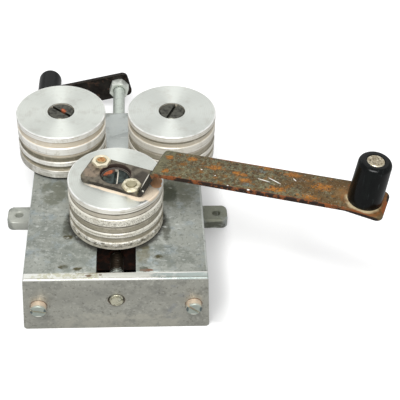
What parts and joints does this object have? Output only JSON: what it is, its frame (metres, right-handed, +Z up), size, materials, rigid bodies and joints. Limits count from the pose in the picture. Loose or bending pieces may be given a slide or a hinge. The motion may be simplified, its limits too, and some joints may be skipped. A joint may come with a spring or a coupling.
{
  "type": "came bender",
  "caption": "Bench-mounted roller bender for lead and zinc came: grooved rollers, a drive roller on a screw-driven carriage, a long drive crank and a small adjusting crank.",
  "frame": {"origin": "midway between the two lug holes, on the plane of the bench", "axes": "+X across the base to the right, as seen from the front plate; +Y from the front plate towards the adjusting crank; +Z up, along the lug holes and the roller axles"},
  "size_m": [0.2476, 0.3033, 0.154],
  "materials": {
    "cast_aluminium": "sand cast, weathered",
    "turned_aluminium": "turned, satin",
    "blackened_steel": "blackened, worn",
    "zinc_steel": "zinc plated, dulled",
    "rusted_steel_bar": "bare bar, rusted in patches",
    "dark_steel_bar": "oil blackened",
    "carriage_iron": "rusted, oily",
    "black_plastic": "gloss"
  },
  "bodies": {
    "base_group": {"base_casting": "cast_aluminium", "front_plate": "cast_aluminium", "front_plate_screws": "zinc_steel", "left_axle_screw": "blackened_steel", "right_axle_screw": "blackened_steel", "left_thrust_washer": "zinc_steel", "right_thrust_washer": "zinc_steel"},
    "left_roller_group": {"left_roller": "turned_aluminium"},
    "right_roller_group": {"right_roller": "turned_aluminium"},
    "carriage_group": {"carriage": "carriage_iron", "drive_axle_screw": "blackened_steel", "drive_thrust_washer": "zinc_steel"},
    "screw_group": {"lead_screw": "zinc_steel", "front_thrust_collar": "blackened_steel", "rear_thrust_collar": "blackened_steel", "collar_set_screws": "blackened_steel", "adjusting_crank_arm": "dark_steel_bar", "crank_inner_nut": "zinc_steel", "crank_lock_nut": "zinc_steel", "adjusting_knob_spindle": "zinc_steel"},
    "adjusting_knob_group": {"adjusting_knob": "black_plastic"},
    "drive_group": {"drive_roller": "turned_aluminium", "drive_crank_arm": "rusted_steel_bar", "crank_studs": "zinc_steel", "crank_nuts": "zinc_steel", "drive_knob_spindle": "rusted_steel_bar"},
    "drive_knob_group": {"drive_knob": "black_plastic"}
  },
  "joints": [
    {"name": "screw_turn", "type": "hinge", "parent": "base_group", "child": "screw_group", "pos_m": [0, 0, 0.0275], "axis": [0, 1, 0], "range_deg": [-5100, 4985]},
    {"name": "carriage_slide", "type": "slide", "parent": "base_group", "child": "carriage_group", "axis": [0, 1, 0], "range_m": [-0.022, 0.0225]},
    {"name": "drive_roller_spin", "type": "hinge", "parent": "carriage_group", "child": "drive_group", "pos_m": [0, -0.0485, 0.0491], "axis": [0, 0, 1], "continuous": true},
    {"name": "drive_knob_spin", "type": "hinge", "parent": "drive_group", "child": "drive_knob_group", "pos_m": [0.14937, -0.11376, 0.12178], "axis": [0.0639, -0.0279, 0.9976], "continuous": true},
    {"name": "left_roller_spin", "type": "hinge", "parent": "base_group", "child": "left_roller_group", "pos_m": [-0.0397, 0.025, 0.0491], "axis": [0, 0, 1], "continuous": true},
    {"name": "right_roller_spin", "type": "hinge", "parent": "base_group", "child": "right_roller_group", "pos_m": [0.0397, 0.025, 0.0491], "axis": [0, 0, 1], "continuous": true},
    {"name": "adjusting_knob_spin", "type": "hinge", "parent": "screw_group", "child": "adjusting_knob_group", "pos_m": [-0.06016, 0.1407, 0.0125], "axis": [0, 1, 0], "continuous": true}
  ],
  "couplings": [
    {"joint": "carriage_slide", "follows": "screw_turn", "m_per_rad": -0.00025266}
  ]
}
